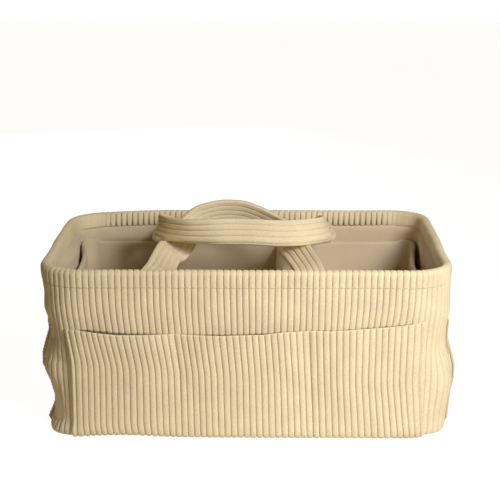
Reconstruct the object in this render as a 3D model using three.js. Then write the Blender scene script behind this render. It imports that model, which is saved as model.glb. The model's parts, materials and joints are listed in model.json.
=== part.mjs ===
// Diaper caddy: a soft-sided corduroy tote with outside pockets, two strap handles
// and a loose insert whose two dividers move along hook-and-loop strips.
// Millimetres, +Z up, origin on the floor under the middle of the caddy, front at -Y.
import * as THREE from "three";

// Driving dimensions of the tote
const RIM_LENGTH = 400;
const RIM_DEPTH = 250;
const BASE_LENGTH = 394;
const BASE_DEPTH = 246;
const HEIGHT = 173;
const CORNER_RADIUS = 40;
const BASE_ROUND = 8;

// Cloth, foam and board
const CORDUROY = 2.6;
const WALE_PITCH = 6.2;
const WALE_DEPTH = 1.3;
const FOAM = 3;
const LINING = 0.8;
const BASE_BOARD = 4;
const SEAM_GAP = 0.3;

// Rim hem, turned over the wall
const HEM_DROP = 17.5;
const HEM_TURN = 14;
const HEM_ROOF = 3.4;

// Outside pockets
const POCKET_TOP = 112;
const POCKET_DEPTH = 6.5;
const LONG_POCKET_HALF = 174;
const LONG_POCKET_SEAM = 62.5;
const END_POCKET_HALF = 80;

// Strap handles
const STRAP_WIDTH = 32;
const STRAP_THICKNESS = 4.6;
const STRAP_EDGE = 1.8;
const STRAP_VALLEY = 0.8;
const STRAP_WALES = 5;
const STRAP_LIFT = 3;
const TAIL_THICKNESS = 3.4;
const TAIL_DROP = 46;
const TAIL_STEP = 8;
const LEG_SPACING = 148;
const FRONT_HANDLE_SHIFT = -13;
const BACK_HANDLE_SHIFT = -1;
const FRONT_GRIP_TURN = 52;
const BACK_GRIP_TURN = 44;

// Loose insert and its dividers
const INSERT_INSET = 14;
const INSERT_DROP = 33;
const INSERT_CLOTH = 0.9;
const INSERT_BOARD = 3;
const CORNER_CLOTH = 2;
const TAPE_THICKNESS = 1.2;
const TAPE_WIDTH = 20;
const TAPE_DROP = 44;
const HOOK_LENGTH = 24;
const DIVIDER_BOARD = 4;
const DIVIDER_DROP = 2;
const LEFT_DIVIDER_X = -81;
const RIGHT_DIVIDER_X = 38;

// How finely curves are stepped
const ARC_STEP = 8;
const POCKET_STEPS = 7;
const HEM_CAP_STEPS = 8;
const STRAP_STATIONS = 28;

// Each layer's inset from the wall's outer face, worked inwards
const FOAM_OUT = CORDUROY + SEAM_GAP;
const FOAM_IN = FOAM_OUT + FOAM;
const LINING_OUT = FOAM_IN + SEAM_GAP;
const LINING_IN = LINING_OUT + LINING;
const HEM_LEG_OUT = LINING_IN + SEAM_GAP;
const HEM_LEG_IN = HEM_LEG_OUT + CORDUROY;
const TAIL_OUT = HEM_LEG_IN + SEAM_GAP;
const COVER_IN = INSERT_INSET + 2 * (INSERT_CLOTH + SEAM_GAP) + INSERT_BOARD;
const LOOP_IN = COVER_IN + SEAM_GAP + TAPE_THICKNESS;

// Levels, worked upwards
const WALL_BOTTOM = CORDUROY + SEAM_GAP;
const ROUND_LEVELS = [BASE_ROUND * 0.45, BASE_ROUND];
const BOARD_TOP = WALL_BOTTOM + BASE_BOARD;
const LINING_BOTTOM = BOARD_TOP + SEAM_GAP;
const INSERT_BOTTOM = LINING_BOTTOM + LINING + SEAM_GAP;
const INSERT_TOP = HEIGHT - INSERT_DROP;
const HEM_BOTTOM = HEIGHT - HEM_DROP;
const HEM_TURN_BOTTOM = HEIGHT - HEM_TURN;
const HEM_CEILING = HEIGHT - HEM_ROOF;
const WALL_TOP = HEM_CEILING - SEAM_GAP;
const HINGE_HEIGHT = HEIGHT + STRAP_LIFT;
const HINGE_DEPTH = RIM_DEPTH / 2 - TAIL_OUT - TAIL_THICKNESS / 2;

// Lengths along the wall, counted anticlockwise from the middle of the front
const HALF_FRONT = RIM_LENGTH / 2 - CORNER_RADIUS;
const HALF_END = RIM_DEPTH / 2 - CORNER_RADIUS;
const QUARTER_ARC = (CORNER_RADIUS * Math.PI) / 2;
const GIRTH = 4 * (HALF_FRONT + HALF_END + QUARTER_ARC);
const END_MIDDLE = GIRTH / 4;
const WALE = END_MIDDLE / Math.round(END_MIDDLE / WALE_PITCH);

// A pocket's levels from its base seam to its mouth, and how far it stands off there as a share of its depth
const POCKET_LEVELS = [...ROUND_LEVELS, THREE.MathUtils.lerp(BASE_ROUND, POCKET_TOP, 0.55), POCKET_TOP];
const POCKET_SWELL = [0, 0.35, 1, 0.9];

// Half of each handle's centre line, from the wall to the middle of the grip: sideways as a share of half
// the leg spacing, inwards as a share of the hinge's distance from the middle, up as a share of the strap width.
// The front handle lies back over the insert and passes under the back handle's grip.
const FRONT_HANDLE_PATH = [
  [1, 0, 0],
  [0.99, 0.25, -0.08],
  [0.94, 0.64, -0.24],
  [0.89, 0.88, -0.31],
  [0.85, 1.09, -0.22],
  [0.7, 1.27, 0.21],
  [0.42, 1.37, 0.43],
  [0, 1.4, 0.52],
];
const BACK_HANDLE_PATH = [
  [1, 0, 0],
  [1.01, 0.14, 0.02],
  [1.05, 0.44, 0.11],
  [1.08, 0.72, 0.22],
  [0.99, 0.95, 0.29],
  [0.7, 1.06, 0.28],
  [0, 1.08, 0.275],
];

const finish = (color, roughness) => new THREE.MeshStandardMaterial({ color, roughness, metalness: 0 });
const corduroyCloth = finish(0xead6ae, 0.95);
const cottonCloth = finish(0xcbb994, 0.9);
const foamSheet = finish(0xf2f0ea, 0.85);
const stiffBoard = finish(0x9c968a, 0.8);
const stiffFelt = finish(0xb8b0a0, 0.9);
const loopTape = finish(0xd9cba8, 0.95);
const hookTape = finish(0xcfc09b, 0.7);

// Point on the rim's outer outline, with its outward normal, at a length along the wall.
function outlineAt(length) {
  const along = THREE.MathUtils.euclideanModulo(length + END_MIDDLE, GIRTH) - END_MIDDLE;
  const onBack = along > END_MIDDLE;
  const reach = onBack ? along - GIRTH / 2 : along;
  const side = reach < 0 ? -1 : 1;
  const past = Math.abs(reach) - HALF_FRONT;
  const angle = THREE.MathUtils.clamp(past / CORNER_RADIUS, 0, Math.PI / 2);
  const normal = new THREE.Vector2(side * Math.sin(angle), -Math.cos(angle));
  const point = new THREE.Vector2(
    side * Math.min(Math.abs(reach), HALF_FRONT),
    Math.max(past - QUARTER_ARC, 0) - HALF_END,
  ).addScaledVector(normal, CORNER_RADIUS);
  return onBack ? { point: point.negate(), normal: normal.negate() } : { point, normal };
}

// How far the wall's foot rounds under at a height, straight between the two round levels.
function footInset(z) {
  const [low, high] = ROUND_LEVELS;
  const arc = (height) => BASE_ROUND - Math.sqrt(BASE_ROUND ** 2 - (BASE_ROUND - height) ** 2);
  if (z < low) return arc(z);
  return arc(low) * Math.max((high - z) / (high - low), 0);
}

// The same point at a height and a stand-off from the wall, which leans in towards the base.
function wallPoint(length, standOff, z) {
  const { point, normal } = outlineAt(length);
  const out = standOff - footInset(z);
  const lean = (base, rim) => THREE.MathUtils.lerp(base, rim, z / HEIGHT) / rim;
  return [
    (point.x + normal.x * out) * lean(BASE_LENGTH, RIM_LENGTH),
    (point.y + normal.y * out) * lean(BASE_DEPTH, RIM_DEPTH),
    z,
  ];
}

// Columns for a plain sheet: its two ends and steps round each corner between them.
function plainColumns(from, to) {
  const columns = [from];
  const steps = Math.ceil(QUARTER_ARC / ARC_STEP);
  for (let corner = -1; corner <= 5; corner += 1) {
    const middle = END_MIDDLE * corner;
    const swing = corner % 2 === 0 ? HALF_FRONT : HALF_END;
    for (let step = 0; step <= steps; step += 1) {
      const length = middle + swing + (QUARTER_ARC * step) / steps;
      if (length > from + 0.5 && length < to - 0.5) columns.push(length);
    }
  }
  columns.push(to);
  return columns;
}

// Columns for a ribbed sheet: the crest and the valley of every wale.
function waleColumns(from, to) {
  const columns = [from];
  for (let half = Math.ceil((2 * from) / WALE); half * WALE < 2 * to; half += 1) {
    const length = (half * WALE) / 2;
    if (length > from + 0.5 && length < to - 0.5) columns.push(length);
  }
  columns.push(to);
  return columns;
}

function waleValley(length) {
  const phase = THREE.MathUtils.euclideanModulo(length / WALE, 1);
  return WALE_DEPTH * (1 - Math.abs(2 * phase - 1));
}

function closedSkin(positions, index) {
  const geometry = new THREE.BufferGeometry();
  geometry.setAttribute("position", new THREE.Float32BufferAttribute(positions, 3));
  geometry.setIndex(index);
  geometry.computeVertexNormals();
  return geometry;
}

// Joins a run of rings into one closed skin; an open run is capped with its section.
function loft(rings, section, loop = false) {
  const count = section.length;
  const index = [];
  const spans = loop ? rings.length : rings.length - 1;
  for (let span = 0; span < spans; span += 1) {
    const near = span * count;
    const far = ((span + 1) % rings.length) * count;
    for (let corner = 0; corner < count; corner += 1) {
      const next = (corner + 1) % count;
      index.push(near + corner, near + next, far + next, near + corner, far + next, far + corner);
    }
  }
  const end = (rings.length - 1) * count;
  const caps = loop ? [] : THREE.ShapeUtils.triangulateShape(section, []);
  for (const [a, b, c] of caps) index.push(a, c, b, end + a, end + b, end + c);
  return closedSkin(rings.flat(2), index);
}

// Sweeps a section of [stand-off, height] corners along the wall.
function wallSweep(corners, columns, loop = false) {
  const section = corners.map(([standOff, z]) => new THREE.Vector2(standOff, z));
  const rings = columns.map((length) => section.map(({ x, y }) => wallPoint(length, x, y)));
  return loft(rings.reverse(), section, loop);
}

// Levels at which a layer of the wall bends, from its foot to its top.
function wallLevels(bottom, top) {
  return [bottom, ...ROUND_LEVELS.filter((level) => level > bottom + SEAM_GAP && level < top), top];
}

// A plain layer of the wall between two insets and two heights.
function wallLayer(from, to, outset, inset, bottom, top) {
  const levels = wallLevels(bottom, top);
  const outer = levels.map((level) => [-outset, level]);
  const inner = levels.map((level) => [-inset, level]).reverse();
  return wallSweep([...outer, ...inner], plainColumns(from, to));
}

// A sheet with wales down its outer face and a plain inner face.
function ribbedSheet(from, to, levels, innerColumns, outer, inner) {
  const outerColumns = waleColumns(from, to);
  const positions = [];
  const index = [];
  const quad = (a, b, c, d) => index.push(a, b, c, a, c, d);
  const lay = (columns, standOff) => levels.map((level) => columns.map((length) => {
    positions.push(...wallPoint(length, standOff(length, level), level));
    return positions.length / 3 - 1;
  }));
  const face = lay(outerColumns, (length, level) => outer(length, level) - waleValley(length));
  const rear = lay(innerColumns, inner);
  const faceEnd = outerColumns.length - 1;
  const rearEnd = innerColumns.length - 1;
  for (let low = 0; low + 1 < levels.length; low += 1) {
    const high = low + 1;
    for (let i = 0; i < faceEnd; i += 1) quad(face[low][i], face[low][i + 1], face[high][i + 1], face[high][i]);
    for (let i = 0; i < rearEnd; i += 1) quad(rear[high][i], rear[high][i + 1], rear[low][i + 1], rear[low][i]);
    quad(rear[low][0], face[low][0], face[high][0], rear[high][0]);
    quad(face[low][faceEnd], rear[low][rearEnd], rear[high][rearEnd], face[high][faceEnd]);
  }
  const bottom = 0;
  const top = levels.length - 1;
  let i = 0;
  let k = 0;
  while (i < rearEnd || k < faceEnd) {
    const alongFace = i === rearEnd || (k < faceEnd && outerColumns[k + 1] <= innerColumns[i + 1]);
    const next = (level) => (alongFace ? face[level][k + 1] : rear[level][i + 1]);
    index.push(rear[top][i], face[top][k], next(top));
    index.push(rear[bottom][i], next(bottom), face[bottom][k]);
    if (alongFace) k += 1;
    else i += 1;
  }
  return closedSkin(positions, index);
}

// A level plate that follows the wall's outline.
function floorPlate(inset, levels) {
  const outline = plainColumns(0, GIRTH).slice(0, -1);
  const rings = levels.map((level) => outline.map((length) => wallPoint(length, -inset, level)));
  return loft(rings, rings[0].map(([x, y]) => new THREE.Vector2(x, y)));
}

// The rim hem turns over the wall's top edge with a rounded roof.
function rimHem() {
  const half = HEM_LEG_IN / 2;
  const shoulder = Math.min(half, HEM_ROOF + CORDUROY / 2);
  const corners = [[-CORDUROY, HEM_BOTTOM], [0, HEM_BOTTOM]];
  for (let step = 0; step <= HEM_CAP_STEPS; step += 1) {
    const turn = (Math.PI * step) / HEM_CAP_STEPS;
    corners.push([half * Math.cos(turn) - half, HEIGHT - shoulder + shoulder * Math.sin(turn)]);
  }
  corners.push([-HEM_LEG_IN, HEM_TURN_BOTTOM], [-HEM_LEG_OUT, HEM_TURN_BOTTOM]);
  corners.push([-HEM_LEG_OUT, HEM_CEILING], [-CORDUROY, HEM_CEILING]);
  return wallSweep(corners, plainColumns(0, GIRTH).slice(0, -1), true);
}

// A pocket strip sewn down at its ends and seams and standing off the wall between them.
function pocketStrip(middle, seams) {
  const marks = seams.map((seam) => middle + seam);
  const from = marks[0];
  const to = marks[marks.length - 1];
  const columns = plainColumns(from, to);
  for (let bay = 0; bay + 1 < marks.length; bay += 1) {
    const width = marks[bay + 1] - marks[bay];
    for (let step = 1; step <= POCKET_STEPS; step += 1) {
      const length = marks[bay] + (width * step) / POCKET_STEPS;
      if (columns.every((column) => Math.abs(column - length) > 1)) columns.push(length);
    }
  }
  columns.sort((a, b) => a - b);
  const levels = POCKET_LEVELS;
  const gap = (length, level) => {
    const bay = Math.max(marks.findLastIndex((mark) => length >= mark - 1e-6), 0);
    const start = marks[Math.min(bay, marks.length - 2)];
    const stop = marks[Math.min(bay, marks.length - 2) + 1];
    const share = (2 * (length - start)) / (stop - start) - 1;
    const swell = POCKET_SWELL[levels.indexOf(level)];
    return 2 * SEAM_GAP + POCKET_DEPTH * swell * (1 - Math.abs(share) ** 3);
  };
  const liningOut = (length, level) => gap(length, level) + LINING;
  const faceIn = (length, level) => liningOut(length, level) + SEAM_GAP;
  const faceOut = (length, level) => faceIn(length, level) + CORDUROY;
  const rings = columns.map((length) => [
    ...levels.map((level) => wallPoint(length, liningOut(length, level), level)),
    ...levels.map((level) => wallPoint(length, gap(length, level), level)).reverse(),
  ]);
  const bayMiddle = (marks[0] + marks[1]) / 2;
  const section = [
    ...levels.map((level) => new THREE.Vector2(liningOut(bayMiddle, level), level)),
    ...levels.map((level) => new THREE.Vector2(gap(bayMiddle, level), level)).reverse(),
  ];
  return {
    face: ribbedSheet(from, to, levels, columns, faceOut, faceIn),
    lining: loft(rings.reverse(), section),
  };
}

// The sewn end of a strap: down the hem's inner leg and on to the lining below it.
function strapTail(middle) {
  const foot = HEIGHT - TAIL_DROP;
  const tip = HEIGHT + 0.2;
  const step = HEM_TURN_BOTTOM - SEAM_GAP;
  const outer = [[-HEM_LEG_OUT, foot], [-HEM_LEG_OUT, step - TAIL_STEP], [-TAIL_OUT, step], [-TAIL_OUT, tip]];
  const inner = outer.map(([standOff, z]) => [standOff - TAIL_THICKNESS, z]).reverse();
  return wallSweep([...outer, ...inner], plainColumns(middle - STRAP_WIDTH / 2, middle + STRAP_WIDTH / 2));
}

// A ribbed strap bent along a handle's path, turning on edge towards the middle of its grip.
function strapLoop(path, gripTurn, turnFrom, turnTo) {
  const half = path.map(([sideways, inwards, up]) => new THREE.Vector3(
    (sideways * LEG_SPACING) / 2, inwards * HINGE_DEPTH, up * STRAP_WIDTH,
  ));
  const mirrored = half.slice(0, -1).reverse().map(({ x, y, z }) => new THREE.Vector3(-x, y, z));
  const curve = new THREE.CatmullRomCurve3([...half, ...mirrored]);
  const steps = 2 * STRAP_WALES;
  const lower = [];
  for (let step = 0; step <= steps; step += 1) {
    const crest = STRAP_THICKNESS / 2 - (step % 2 === 0 ? STRAP_VALLEY : 0);
    const depth = step === 0 || step === steps ? STRAP_EDGE / 2 : crest;
    lower.push(new THREE.Vector2(STRAP_WIDTH * (step / steps - 0.5), -depth));
  }
  const upper = lower.map(({ x, y }) => new THREE.Vector2(x, -y)).reverse();
  const section = [...lower, ...upper];
  const rings = [];
  for (let station = 0; station <= STRAP_STATIONS; station += 1) {
    const share = station / STRAP_STATIONS;
    const fromWall = 1 - Math.abs(2 * share - 1);
    const turn = THREE.MathUtils.degToRad(gripTurn) * THREE.MathUtils.smoothstep(fromWall, turnFrom, turnTo);
    const tangent = curve.getTangentAt(share);
    const flatUp = new THREE.Vector3(0, 0, 1).addScaledVector(tangent, -tangent.z).normalize();
    const across = flatUp.clone().cross(tangent).applyAxisAngle(tangent, turn);
    const up = flatUp.applyAxisAngle(tangent, turn);
    const centre = curve.getPointAt(share);
    rings.push(section.map(({ x, y }) => centre.clone().addScaledVector(across, x).addScaledVector(up, y).toArray()));
  }
  return loft(rings, section);
}

// Section of a cloth sleeve open at the foot, between two faces, with softened top corners.
function sleeveSection(outer, inner, bottom, top) {
  const soft = INSERT_CLOTH * 0.8;
  return [
    [inner, bottom],
    [inner + INSERT_CLOTH, bottom],
    [inner + INSERT_CLOTH, top - INSERT_CLOTH],
    [outer - INSERT_CLOTH, top - INSERT_CLOTH],
    [outer - INSERT_CLOTH, bottom],
    [outer, bottom],
    [outer, top - soft],
    [outer - soft, top],
    [inner + soft, top],
    [inner, top - soft],
  ];
}

const caddy = new THREE.Group();
caddy.name = "diaper_caddy";

function addPiece(parent, name, geometry, material) {
  const mesh = new THREE.Mesh(geometry, material);
  mesh.name = name;
  parent.add(mesh);
  return mesh;
}

function addGroup(parent, name) {
  const group = new THREE.Group();
  group.name = name;
  parent.add(group);
  return group;
}

// Walls, one side at a time: where each side starts and stops along the wall
const tote = addGroup(caddy, "tote");
const halfGap = SEAM_GAP / 2;
const sides = [
  { name: "front", from: -HALF_FRONT, to: HALF_FRONT },
  { name: "right", from: HALF_FRONT, to: GIRTH / 2 - HALF_FRONT },
  { name: "back", from: GIRTH / 2 - HALF_FRONT, to: GIRTH / 2 + HALF_FRONT },
  { name: "left", from: GIRTH / 2 + HALF_FRONT, to: GIRTH - HALF_FRONT },
];
for (const { name, from, to } of sides) {
  const start = from + halfGap;
  const stop = to - halfGap;
  const levels = wallLevels(WALL_BOTTOM, HEM_BOTTOM - SEAM_GAP);
  const columns = plainColumns(start, stop);
  const skin = ribbedSheet(start, stop, levels, columns, () => 0, () => -CORDUROY);
  addPiece(tote, `${name}_outer_panel`, skin, corduroyCloth);
  const foam = wallLayer(start, stop, FOAM_OUT, FOAM_IN, WALL_BOTTOM, WALL_TOP);
  addPiece(tote, `${name}_foam`, foam, foamSheet);
  const lining = wallLayer(start, stop, LINING_OUT, LINING_IN, LINING_BOTTOM, WALL_TOP);
  addPiece(tote, `${name}_lining`, lining, cottonCloth);
}
addPiece(tote, "rim_hem", rimHem(), corduroyCloth);
addPiece(tote, "base_outer_panel", floorPlate(0, [0, CORDUROY * 0.4, CORDUROY]), corduroyCloth);
addPiece(tote, "base_board", floorPlate(FOAM_IN + SEAM_GAP, [WALL_BOTTOM, BOARD_TOP]), stiffBoard);
const baseLining = floorPlate(LINING_IN + SEAM_GAP, [LINING_BOTTOM, LINING_BOTTOM + LINING]);
addPiece(tote, "base_lining", baseLining, cottonCloth);

// Outside pockets: three on each long side, one on each end
const longSeams = [-LONG_POCKET_HALF, -LONG_POCKET_SEAM, LONG_POCKET_SEAM, LONG_POCKET_HALF];
const endSeams = [-END_POCKET_HALF, END_POCKET_HALF];
const pockets = [
  { name: "front_pocket", middle: 0, seams: longSeams },
  { name: "right_pocket", middle: END_MIDDLE, seams: endSeams },
  { name: "back_pocket", middle: GIRTH / 2, seams: longSeams },
  { name: "left_pocket", middle: GIRTH - END_MIDDLE, seams: endSeams },
];
for (const { name, middle, seams } of pockets) {
  const { face, lining } = pocketStrip(middle, seams);
  addPiece(tote, `${name}_face`, face, corduroyCloth);
  addPiece(tote, `${name}_lining`, lining, cottonCloth);
}

// Strap tails sewn inside the long walls
const leg = LEG_SPACING / 2;
addPiece(tote, "front_left_strap_tail", strapTail(FRONT_HANDLE_SHIFT - leg), corduroyCloth);
addPiece(tote, "front_right_strap_tail", strapTail(FRONT_HANDLE_SHIFT + leg), corduroyCloth);
addPiece(tote, "back_left_strap_tail", strapTail(GIRTH / 2 - BACK_HANDLE_SHIFT + leg), corduroyCloth);
addPiece(tote, "back_right_strap_tail", strapTail(GIRTH / 2 - BACK_HANDLE_SHIFT - leg), corduroyCloth);

// Handles, each set on the line where its straps bend over the hem
const frontHandle = strapLoop(FRONT_HANDLE_PATH, FRONT_GRIP_TURN, 0.52, 0.9);
const frontHandleMesh = addPiece(caddy, "front_handle", frontHandle, corduroyCloth);
frontHandleMesh.position.set(FRONT_HANDLE_SHIFT, -HINGE_DEPTH, HINGE_HEIGHT);
const backHandle = strapLoop(BACK_HANDLE_PATH, BACK_GRIP_TURN, 0.1, 0.55);
const backHandleMesh = addPiece(caddy, "back_handle", backHandle, corduroyCloth);
backHandleMesh.position.set(BACK_HANDLE_SHIFT, HINGE_DEPTH, HINGE_HEIGHT);
backHandleMesh.rotation.z = Math.PI;

// Insert: four stiffened panels in cloth sleeves, folding at cloth corners
const insert = addGroup(caddy, "insert");
const panels = [
  { name: "front", middle: 0, half: HALF_FRONT },
  { name: "right", middle: END_MIDDLE, half: HALF_END },
  { name: "back", middle: GIRTH / 2, half: HALF_FRONT },
  { name: "left", middle: GIRTH - END_MIDDLE, half: HALF_END },
];
const corners = ["front_right", "back_right", "back_left", "front_left"];
panels.forEach(({ name, middle, half }, number) => {
  const start = middle - half + halfGap;
  const stop = middle + half - halfGap;
  const sleeve = sleeveSection(-INSERT_INSET, -COVER_IN, INSERT_BOTTOM, INSERT_TOP);
  addPiece(insert, `insert_${name}_cover`, wallSweep(sleeve, [start, stop]), cottonCloth);
  const boardOut = INSERT_INSET + INSERT_CLOTH + SEAM_GAP;
  const boardTop = INSERT_TOP - INSERT_CLOTH - SEAM_GAP;
  const board = wallLayer(start, stop, boardOut, boardOut + INSERT_BOARD, INSERT_BOTTOM, boardTop);
  addPiece(insert, `insert_${name}_board`, board, stiffFelt);
  const cornerOut = (INSERT_INSET + COVER_IN - CORNER_CLOTH) / 2;
  const cornerCloth = wallLayer(
    stop + SEAM_GAP, stop + QUARTER_ARC, cornerOut, cornerOut + CORNER_CLOTH, INSERT_BOTTOM + 3, INSERT_TOP - 2,
  );
  addPiece(insert, `insert_${corners[number]}_corner`, cornerCloth, cottonCloth);
});

// Loop strips along the insert's long panels
const tapeTop = INSERT_TOP - TAPE_DROP;
const tapeBottom = tapeTop - TAPE_WIDTH;
for (const { name, middle, half } of panels.filter((panel) => panel.half === HALF_FRONT)) {
  const strip = wallLayer(middle - half + 2, middle + half - 2, COVER_IN + SEAM_GAP, LOOP_IN, tapeBottom, tapeTop);
  addPiece(insert, `${name}_loop_strip`, strip, loopTape);
}

// Dividers, held to the loop strips by a hook tab at each end
const dividerBottom = INSERT_BOTTOM + SEAM_GAP;
const dividerTop = INSERT_TOP - DIVIDER_DROP;
const roomAt = (inset, level) => Math.abs(wallPoint(0, -inset, level)[1]) - SEAM_GAP;
const hookFace = Math.min(roomAt(LOOP_IN, tapeBottom), roomAt(LOOP_IN, tapeTop));
const coverRoom = Math.min(roomAt(COVER_IN, dividerBottom), roomAt(COVER_IN, INSERT_TOP));
const dividerHalf = Math.min(hookFace - TAPE_THICKNESS - SEAM_GAP, coverRoom);
const dividerThickness = DIVIDER_BOARD + 2 * (INSERT_CLOTH + SEAM_GAP);
for (const { name, x } of [{ name: "left", x: LEFT_DIVIDER_X }, { name: "right", x: RIGHT_DIVIDER_X }]) {
  const divider = addGroup(insert, `${name}_divider`);
  divider.position.x = x;
  const sleeve = sleeveSection(dividerThickness / 2, -dividerThickness / 2, dividerBottom, dividerTop);
  const shape = new THREE.Shape(sleeve.map(([across, z]) => new THREE.Vector2(across, z)));
  const cover = new THREE.ExtrudeGeometry(shape, { depth: 2 * dividerHalf, bevelEnabled: false });
  cover.rotateX(Math.PI / 2).translate(0, dividerHalf, 0);
  addPiece(divider, `${name}_divider_cover`, cover, cottonCloth);
  const boardHeight = dividerTop - dividerBottom - INSERT_CLOTH - SEAM_GAP;
  const board = new THREE.BoxGeometry(DIVIDER_BOARD, 2 * dividerHalf - 1, boardHeight);
  addPiece(divider, `${name}_divider_board`, board.translate(0, 0, dividerBottom + boardHeight / 2), stiffFelt);
  for (const [end, side] of [["front", -1], ["back", 1]]) {
    const tab = new THREE.BoxGeometry(HOOK_LENGTH, TAPE_THICKNESS, TAPE_WIDTH);
    tab.translate(0, side * (hookFace - TAPE_THICKNESS / 2), (tapeBottom + tapeTop) / 2);
    addPiece(divider, `${name}_divider_${end}_hook_tab`, tab, hookTape);
  }
}

export default caddy;
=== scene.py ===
"""Diaper caddy: corduroy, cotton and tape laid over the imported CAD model.

Shapes are worked out in millimetres and put into metres when a mesh is made.
"""

import json
import math

import bpy
import numpy as np
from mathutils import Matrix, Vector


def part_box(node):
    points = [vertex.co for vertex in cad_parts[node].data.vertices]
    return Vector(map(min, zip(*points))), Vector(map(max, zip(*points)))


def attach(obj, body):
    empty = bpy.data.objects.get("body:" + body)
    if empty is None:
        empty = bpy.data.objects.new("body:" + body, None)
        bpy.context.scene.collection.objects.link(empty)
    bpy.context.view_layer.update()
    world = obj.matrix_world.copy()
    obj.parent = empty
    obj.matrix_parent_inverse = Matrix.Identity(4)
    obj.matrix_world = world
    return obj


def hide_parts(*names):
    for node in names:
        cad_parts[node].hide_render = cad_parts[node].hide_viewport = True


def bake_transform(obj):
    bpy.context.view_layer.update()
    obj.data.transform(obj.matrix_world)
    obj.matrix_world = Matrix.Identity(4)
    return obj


bl_info = {
    "name": "Diaper caddy",
    "version": (1, 0, 0),
    "blender": (4, 5, 0),
    "location": "3D View > Sidebar > Caddy",
    "description": "Dresses the caddy's CAD model in corduroy and cotton",
    "category": "Object",
}

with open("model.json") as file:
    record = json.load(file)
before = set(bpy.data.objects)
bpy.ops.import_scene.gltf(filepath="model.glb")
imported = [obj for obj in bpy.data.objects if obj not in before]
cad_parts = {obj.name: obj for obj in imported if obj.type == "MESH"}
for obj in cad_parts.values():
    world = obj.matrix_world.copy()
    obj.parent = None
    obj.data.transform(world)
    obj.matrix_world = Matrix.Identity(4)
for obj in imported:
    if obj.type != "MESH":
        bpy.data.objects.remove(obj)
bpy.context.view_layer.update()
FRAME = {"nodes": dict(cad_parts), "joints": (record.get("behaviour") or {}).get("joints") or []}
MM = 0.001


def node_box(node):
    """Lowest and highest corner of a CAD node, in millimetres."""
    low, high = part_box(node)
    return np.array(low) / MM, np.array(high) / MM


# The tote's outline and levels, read from the CAD nodes
RIM_LOW, RIM_HIGH = node_box("rim_hem")
RIM_LENGTH, RIM_DEPTH, _ = RIM_HIGH - RIM_LOW
HEM_BOTTOM, HEIGHT = RIM_LOW[2], RIM_HIGH[2]
INSERT_BOTTOM, INSERT_TOP = (corner[2] for corner in node_box("insert_back_cover"))
LINING_BOTTOM, LINING_TOP = (corner[2] for corner in node_box("back_lining"))
CORNER_RADIUS = 40
# Stand-off of the padded wall's inside from its outside
WALL_BACK = -5.9
# The base's length and depth as shares of the rim's
BASE_SHARE_X, BASE_SHARE_Y = 394 / 400, 246 / 250

# Lengths along the wall, counted anticlockwise from the middle of the front
HALF_FRONT = RIM_LENGTH / 2 - CORNER_RADIUS
HALF_END = RIM_DEPTH / 2 - CORNER_RADIUS
QUARTER_ARC = CORNER_RADIUS * math.pi / 2
GIRTH = 4 * (HALF_FRONT + HALF_END + QUARTER_ARC)
QUARTER = GIRTH / 4
WALES_ROUND = 200
WALE = GIRTH / WALES_ROUND

# Where the eight columns of one wale stand, as a share of half its width
WALE_STEPS = np.array([-1, -0.89, -0.68, -0.36, 0, 0.36, 0.68, 0.89])
# How high the wale stands there: a round ridge, a little flat on top
WALE_HEIGHTS = (1 - np.abs(WALE_STEPS) ** 3.6) ** 0.55


def linear(code):
    """Linear red, green, blue and alpha of an sRGB hex colour."""
    channels = [int(code[i:i + 2], 16) / 255 for i in (1, 3, 5)]
    return [c / 12.92 if c <= 0.04045 else ((c + 0.055) / 1.055) ** 2.4 for c in channels] + [1.0]


def eased(values, start, stop):
    """0 before start and 1 after stop, with a smooth step between; start may be the larger."""
    share = np.clip((values - start) / (stop - start), 0, 1)
    return share * share * (3 - 2 * share)


def hump(values, middle, width):
    """A smooth rise that is 1 at the middle and dies away over about the width on each side."""
    return np.exp(-(((values - middle) / width) ** 2))


def unevenness(points, size, seed):
    """Soft waves of about the given size, from -1 to 1, at points in millimetres."""
    maker = np.random.default_rng(seed)
    total = np.zeros(points.shape[:-1])
    for _ in range(6):
        direction = maker.normal(size=3)
        direction *= 2 * math.pi / (size * maker.uniform(0.7, 1.5) * np.linalg.norm(direction))
        total += np.sin(points @ direction + maker.uniform(0, 2 * math.pi))
    return total / 3.5


def ripple(reach, height, size, seed):
    """Soft waves drawn out up the wall, for wales that don't run quite straight."""
    return unevenness(np.stack(np.broadcast_arrays(reach * 1.0, height * 0.35, 0 * height), -1), size, seed)


# The tote's wall


def outline(along):
    """Points and outward normals of the rim's outline at lengths along the wall."""
    along = np.mod(along + QUARTER, GIRTH) - QUARTER
    on_back = along > QUARTER
    reach = np.where(on_back, along - GIRTH / 2, along)
    side = np.where(reach < 0, -1.0, 1.0)
    past = np.abs(reach) - HALF_FRONT
    angle = np.clip(past / CORNER_RADIUS, 0, math.pi / 2)
    normal = np.stack([side * np.sin(angle), -np.cos(angle)], -1)
    straight_x = side * np.minimum(np.abs(reach), HALF_FRONT)
    straight_y = np.maximum(past - QUARTER_ARC, 0) - HALF_END
    point = np.stack([straight_x, straight_y], -1) + normal * CORNER_RADIUS
    facing = np.where(on_back, -1.0, 1.0)[..., None]
    return point * facing, normal * facing


def lean_in(x, y, height):
    """Places in the rim's plan drawn in at a height, as the wall leans in towards the base."""
    drop = 1 - height / HEIGHT
    return x * (1 - (1 - BASE_SHARE_X) * drop), y * (1 - (1 - BASE_SHARE_Y) * drop)


def wall_points(along, stand_off, height):
    """Points at a stand-off from the wall's outer face."""
    along, stand_off, height = np.broadcast_arrays(along, stand_off, height)
    point, normal = outline(along)
    flat = point + normal * stand_off[..., None]
    x, y = lean_in(flat[..., 0], flat[..., 1], height)
    return np.stack([x, y, height + sag(x, y, height)], -1)


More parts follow.
